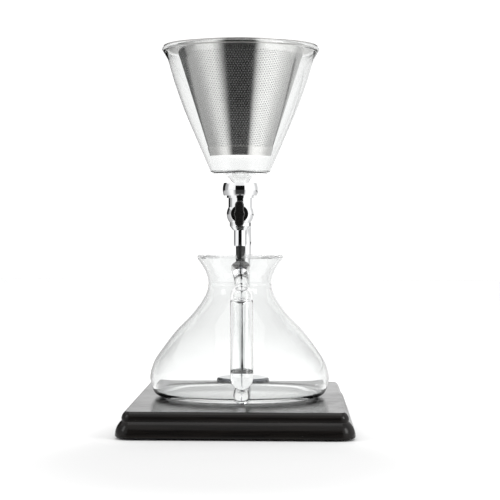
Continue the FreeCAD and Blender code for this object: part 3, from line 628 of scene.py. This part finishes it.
# ---- server ---------------------------------------------------------------------------------
# A blown flask with a wide flat foot. Its flared funnel is fused on at the waist, where a thin
# ridge of glass runs round. The handle is a closed glass tube, left hollow, fused on with two
# solid glass studs, and the server stands turned a little with its handle to the right.
bowl_low, bowl_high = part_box("server_body")
waist_z = bowl_high.z
top_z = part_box("server_funnel")[1].z
foot_z = bowl_low.z
belly_r = (bowl_high.x - bowl_low.x) / 2
waist_r = 28.7 * mm
lip_r = (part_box("server_funnel")[1].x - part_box("server_funnel")[0].x) / 2
weld_swell = 0.3 * mm


def server_outside():
    """Outside of the flask from the foot over the belly to the waist, then out to the rim."""
    belly_z = foot_z + 18.5 * mm
    run, rise = belly_r - waist_r, waist_z - belly_z
    bowl = [(belly_r - 11 * mm, foot_z), (belly_r - 4.6 * mm, foot_z + 2.9 * mm),
            (belly_r - 1.4 * mm, foot_z + 9.6 * mm), (belly_r, belly_z)]
    for inward, up in ((0.065, 0.155), (0.208, 0.298), (0.45, 0.498), (0.747, 0.697), (0.945, 0.878)):
        bowl.append((belly_r - inward * run, belly_z + up * rise))
    flare = top_z - waist_z - wall / 2
    funnel = [(waist_r, waist_z), (waist_r + 0.9 * mm, waist_z + 0.3 * flare),
              (waist_r + 4.4 * mm, waist_z + 0.61 * flare), (lip_r - 0.2 * mm, top_z - wall / 2)]
    path = curve_through(bowl + funnel, 10)
    for point in path:
        point.x += weld_swell * math.exp(-((point.y - waist_z) / (0.9 * mm)) ** 2)
    return path


def rounded_end(a, b, steps=8):
    """Half circle that closes a wall's two faces from a to b."""
    middle, half = (a + b) / 2, (a - b) / 2
    found = []
    for step in range(1, steps):
        t = math.pi * step / steps
        out = Vector((-half.y, half.x)) * -1
        found.append(middle + half * math.cos(t) + out * math.sin(t))
    return found


outside = server_outside()
inside = moved_in(outside, wall)
floor_z = foot_z + 3.8 * mm
punt_z = foot_z + 1.2 * mm
foot_r = belly_r - 11 * mm
wall_inside = [p for p in inside if p.y > floor_z + 1.0 * mm][::-1]
flask = outside + rounded_end(outside[-1], inside[-1]) + wall_inside
flask += [Vector(p) for p in ((foot_r + 1.0 * mm, floor_z + 0.3 * mm), (foot_r - 3 * mm, floor_z),
                              (foot_r - 20 * mm, floor_z), (0.0, floor_z), (0.0, punt_z),
                              (foot_r - 12 * mm, punt_z), (foot_r - 7 * mm, punt_z - 0.4 * mm),
                              (foot_r - 4 * mm, foot_z + 0.1 * mm), (foot_r - 2 * mm, foot_z))]
# The flask glass in front of the belly, on the handle's side, is painted lighter than the rest.
flask_glass = clear_glass("flask_glass", (0.93, 0.937, 0.934), front=axis.y - belly_r - 1 * mm,
                          rim=top_z - 2.0 * mm)
server = spun("server_glass", flask, flask_glass)

handle_turn = math.radians(2.8)
tube_r = 9.75 * mm
tube_wall = 1.5 * mm
low_end_t = 14.0 * mm
high_end_t = 13.0 * mm
hollow_round = 3.0 * mm
melt = 0.55 * mm


def at_handle(out, z):
    """A point in the handle's upright plane: distance from the axis and height over the foot."""
    place = Vector((math.sin(handle_turn) * out, -math.cos(handle_turn) * out, foot_z + z))
    return axis + place


def spun_between(name, a, b, outline, material):
    """Body of revolution about the line from a to b; heights are measured from a."""
    piece = spun(name, outline, material, centre=Vector((0, 0, 0)), sharp=60.0)
    turn = (b - a).to_track_quat("Z", "Y").to_matrix().to_4x4()
    piece.data.transform(Matrix.Translation(a) @ turn)
    return piece


def capsule(name, a, b, radius):
    length = (b - a).length
    outline = round_from((0, 0), radius, -90, 0) + round_from((0, length), radius, 0, 90)
    outline[0].x = outline[-1].x = 0.0
    return spun_between(name, a, b, outline, flask_glass)


def stud(name, a, b, start_r, middle_r, end_r):
    """Solid glass stud that flares into both ends."""
    length = (b - a).length
    outline = [Vector((0, 0))]
    for k in range(21):
        t = k / 20
        flare_in, flare_out = (1 - t) ** 1.8, t ** 4
        outline.append(Vector((middle_r + (start_r - middle_r) * flare_in
                               + (end_r - middle_r) * flare_out, t * length)))
    return spun_between(name, a, b, outline + [Vector((0, length))], flask_glass)


def changed(piece, kind, other=None, **settings):
    """Applies one modifier to a piece; the other piece of a boolean is used up."""
    modifier = piece.modifiers.new(kind, kind)
    for name, value in settings.items():
        setattr(modifier, name, value)
    if other is not None:
        modifier.object = other
        modifier.solver = "MANIFOLD"
    shape = bpy.context.evaluated_depsgraph_get()
    mesh = bpy.data.meshes.new_from_object(piece.evaluated_get(shape))
    piece.modifiers.clear()
    piece.data = mesh
    if other is not None:
        bpy.data.objects.remove(other)
    return piece


low = at_handle(belly_r + 17 * mm, 25 * mm)
high = at_handle(waist_r + 49.3 * mm, waist_z - foot_z - 6.5 * mm)
handle = capsule("handle_glass", low, high, tube_r)
funnel_place = at_handle(waist_r - 1 * mm, waist_z - foot_z + 18.0 * mm)
upper = stud("upper_stud", funnel_place, high + Vector((0, 1.5 * mm, 4.5 * mm)),
             9.5 * mm, 5.2 * mm, 7 * mm)
wall_place = at_handle(belly_r - 6 * mm, 9 * mm)
lower = stud("lower_stud", wall_place, low + Vector((0, 0.5 * mm, -6.0 * mm)),
             8.5 * mm, 3.7 * mm, 6.5 * mm)
changed(handle, "BOOLEAN", upper, operation="UNION")
changed(handle, "BOOLEAN", lower, operation="UNION")
changed(handle, "REMESH", mode="VOXEL", voxel_size=melt, use_smooth_shade=True)
changed(handle, "SMOOTH", factor=0.5, iterations=14)
along = (high - low).normalized()
hollow_low = low + along * (low_end_t - tube_r)
hollow_high = high - along * (high_end_t - tube_r)
hollow_r = tube_r - tube_wall
hollow_length = (hollow_high - hollow_low).length
hollow = [Vector((0, 0))]
hollow += round_from((hollow_r - hollow_round, hollow_round), hollow_round, -90, 0)
hollow += round_from((hollow_r - hollow_round, hollow_length - hollow_round), hollow_round, 0, 90)
hollow.append(Vector((0, hollow_length)))
changed(handle, "BOOLEAN", spun_between("hollow", hollow_low, hollow_high, hollow, flask_glass),
        operation="DIFFERENCE")
half_wall = moved_in(outside, 0.45 * wall)
core = half_wall + [Vector((0, half_wall[-1].y)), Vector((0, half_wall[0].y))]
changed(handle, "BOOLEAN", spun("core", core, flask_glass), operation="DIFFERENCE")
changed(server, "BOOLEAN", handle, operation="UNION")
server.data.shade_smooth()
server.data.set_sharp_from_angle(angle=math.radians(50))
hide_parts("server_body", "server_funnel", "server_handle")
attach(server, "server")

# ---- studio ---------------------------------------------------------------------------------
# A pale table with a painted shadow in front of the base, a white background, three soft boxes, and a
# light tent with dark panels that only mirrored light sees, as flags are set round metal and glass to
# draw their edges.


def stage_sheet(name, points, faces, material):
    piece = new_piece(name, points, faces, material)
    return piece


def table_with_painted_shadow():
    """White board with a painted shadow: a soft grey patch in front of the base, so that less light
    comes up through the glass above it."""
    material, tree, shader = new_finish("table_with_painted_shadow", Roughness=0.6, Specular_IOR_Level=0.2)
    flat = put(tree, "ShaderNodeVectorMath", {
        0: put(tree, "ShaderNodeNewGeometry").outputs["Position"], 1: (1.0, 1.0, 0.0),
        2: (0.0, 0.25, 0.0)}, operation="MULTIPLY_ADD")
    reach = put(tree, "ShaderNodeVectorMath", {0: flat.outputs[0]},
                operation="LENGTH").outputs["Value"]
    # Painted shadow: the table's colour is darker near a point in front of the base.
    tree.links.new(tint(tree, between(tree, reach, 0.09, 0.3), (0.61, 0.61, 0.61),
                        (0.88, 0.88, 0.88)), shader.inputs["Base Color"])
    return material


table_half = 4.0
stage_sheet("table", [(-table_half, -table_half, 0), (table_half, -table_half, 0),
                      (table_half, table_half, 0), (-table_half, table_half, 0)],
            [(0, 1, 2, 3)], table_with_painted_shadow())


cloth_glow = 1.3
glass_sees = 0.7
front_half_angle = 0.7
steel_crossings = 4.0


def tent_cloth(name, panels):
    """Glowing cloth whose brightness goes round by angle; panels are (degrees, brightness).

    Only mirrored light sees it. Light that has been in the glass sees no dark panel but the
    front one, within the half angle in radians, so that clear glass stays light. Light off the
    steel sees every panel: it has crossed the cone's two faces twice, the steel's crossings.
    """
    material = bpy.data.materials.new(name)
    material.use_nodes = True
    tree = material.node_tree
    tree.nodes.clear()
    place = put(tree, "ShaderNodeSeparateXYZ",
                {"Vector": put(tree, "ShaderNodeNewGeometry").outputs["Position"]}).outputs
    angle = sum_of(tree, "ARCTAN2", place["X"], sum_of(tree, "MULTIPLY", place["Y"], -1.0))
    share = sum_of(tree, "ADD", sum_of(tree, "DIVIDE", angle, 2 * math.pi), 0.5)
    ramp = put(tree, "ShaderNodeValToRGB", {"Fac": share})
    points = ramp.color_ramp.elements
    for place_deg, _ in panels[2:]:
        points.new(place_deg / 360 + 0.5)
    for point, (place_deg, bright) in zip(points, panels):
        point.position = place_deg / 360 + 0.5
        point.color = (bright, bright, bright, 1.0)
    glow = put(tree, "ShaderNodeEmission", {"Strength": cloth_glow})
    path = put(tree, "ShaderNodeLightPath").outputs
    mirrored = sum_of(tree, "GREATER_THAN", path["Glossy Depth"], 0.5)
    crossed = path["Transmission Depth"]
    off_metal = sum_of(tree, "MULTIPLY", sum_of(tree, "LESS_THAN", path["Glossy Depth"], 1.5),
                       sum_of(tree, "COMPARE", crossed, steel_crossings, 0.5))
    in_glass = sum_of(tree, "MULTIPLY", sum_of(tree, "GREATER_THAN", crossed, 0.5),
                      sum_of(tree, "GREATER_THAN", sum_of(tree, "ABSOLUTE", angle),
                             front_half_angle))
    in_glass = sum_of(tree, "MULTIPLY", in_glass, sum_of(tree, "SUBTRACT", 1.0, off_metal))
    tree.links.new(sum_of(tree, "MAXIMUM", ramp.outputs["Color"],
                          sum_of(tree, "MULTIPLY", in_glass, glass_sees)), glow.inputs["Color"])
    shown = put(tree, "ShaderNodeMixShader", {
        "Fac": mirrored, 1: put(tree, "ShaderNodeBsdfTransparent").outputs[0], 2: glow.outputs[0]})
    out = put(tree, "ShaderNodeOutputMaterial")
    tree.links.new(shown.outputs[0], out.inputs["Surface"])
    material.cycles.emission_sampling = "NONE"
    return material


wall_flags = [(-180, 1.1), (-168, 0.85), (-161, 0.01), (-118, 0.01), (-112, 0.3), (-88, 0.4),
              (-80, 0.8), (-33, 0.85), (-28, 0.004), (28, 0.004), (33, 0.95), (105, 0.95),
              (125, 0.55), (162, 0.6), (170, 0.9), (180, 1.1)]
spout_flags = [(-180, 1.1), (-168, 0.85), (-161, 0.12), (-118, 0.15), (-112, 0.3), (-88, 0.5),
               (-80, 0.8), (-33, 0.85), (-28, 0.004), (28, 0.004), (33, 0.95), (105, 0.95),
               (122, 0.55), (128, 0.01), (164, 0.01), (170, 0.9), (180, 1.1)]
low_cloth = [(-180, 1.15), (-169, 0.9), (-160, 0.16), (-146, 0.2), (-137, 0.37), (-118, 0.42),
             (-98, 0.46), (-85, 0.6), (-70, 0.85), (-52, 0.95), (-40, 0.6), (-31, 0.2),
             (-26, 0.03), (27, 0.03), (37, 0.8), (50, 1.1), (78, 1.1), (95, 0.85), (115, 0.62),
             (135, 0.55), (160, 0.6), (168, 0.95), (180, 1.15)]
mid_table = [(angle, max(bright, 0.17)) for angle, bright in low_cloth]
near_table = [(angle, max(bright, 0.32)) for angle, bright in low_cloth]
high_cloth = [(angle, max(bright, 0.75)) for angle, bright in wall_flags]
tent_r = 1.0
tent_h = 1.3
flag_low = 0.15
flag_mid = 0.19
flag_h = 0.62
near_r = 0.355
mid_r = 0.4
tent_steps = 96
cloth_z = 0.0005


def ring_of(radius, z):
    return [(radius * math.cos(2 * math.pi * k / tent_steps),
             radius * math.sin(2 * math.pi * k / tent_steps), z) for k in range(tent_steps)]


band = [(k, (k + 1) % tent_steps, (k + 1) % tent_steps + tent_steps, k + tent_steps)
        for k in range(tent_steps)]
tent_parts = (("near_table", near_table, (0.19, cloth_z), (near_r, cloth_z)),
              ("mid_table", mid_table, (near_r, cloth_z), (mid_r, cloth_z)),
              ("far_table", low_cloth, (mid_r, cloth_z), (tent_r, cloth_z)),
              ("low_wall", low_cloth, (tent_r, cloth_z), (tent_r, flag_low)),
              ("spout_wall", spout_flags, (tent_r, flag_low), (tent_r, flag_mid)),
              ("flagged_wall", wall_flags, (tent_r, flag_mid), (tent_r, flag_h)),
              ("high_wall", high_cloth, (tent_r, flag_h), (tent_r, tent_h)))
for sheet_name, panels, low_ring, high_ring in tent_parts:
    cloth = stage_sheet(sheet_name, ring_of(*low_ring) + ring_of(*high_ring), band,
                        tent_cloth(sheet_name, panels))
    cloth.visible_camera = cloth.visible_diffuse = cloth.visible_shadow = False
    cloth.visible_volume_scatter = False


def soft_box(name, place, size, power, aim=Vector((0, 0, 0.12))):
    """Soft area light that looks at the object."""
    light = bpy.data.lights.new(name, "AREA")
    light.shape = "RECTANGLE"
    light.size, light.size_y = size
    light.energy = power
    lamp = bpy.data.objects.new(name, light)
    lamp.location = place
    lamp.rotation_euler = (aim - Vector(place)).to_track_quat("-Z", "Y").to_euler()
    lamp.visible_camera = lamp.visible_transmission = False
    bpy.context.scene.collection.objects.link(lamp)
    return lamp


soft_box("top_box", (0.0, -0.1, 1.5), (1.4, 1.2), 9.0)
soft_box("right_box", (0.75, -0.5, 0.45), (0.3, 0.4), 3.0)
soft_box("left_box", (-0.8, -0.45, 0.5), (0.25, 0.5), 1.5)

world = bpy.data.worlds.new("studio_white")
world.use_nodes = True
world.node_tree.nodes["Background"].inputs["Color"].default_value = (1.0, 1.0, 1.0, 1.0)
world.node_tree.nodes["Background"].inputs["Strength"].default_value = 1.12
bpy.context.scene.world = world

lens = bpy.data.cameras.new("long_lens")
lens.sensor_width = 36.0
lens.lens = 111.6
camera = bpy.data.objects.new("camera", lens)
bpy.context.scene.collection.objects.link(camera)
yaw, pitch, roll = (math.radians(a) for a in (-1.399, -0.792, 0.176))
forward = Vector((math.sin(yaw) * math.cos(pitch), math.cos(yaw) * math.cos(pitch), math.sin(pitch)))
level = Vector((math.cos(yaw), -math.sin(yaw), 0.0))
upright = level.cross(forward)
right = level * math.cos(roll) + upright * math.sin(roll)
upright = upright * math.cos(roll) - level * math.sin(roll)
turn = Matrix((right, upright, -forward)).transposed().to_4x4()
camera.matrix_world = Matrix.Translation((0.0433, -1.4096, 0.1748)) @ turn
bpy.context.scene.camera = camera
bpy.context.scene.view_settings.view_transform = "Standard"
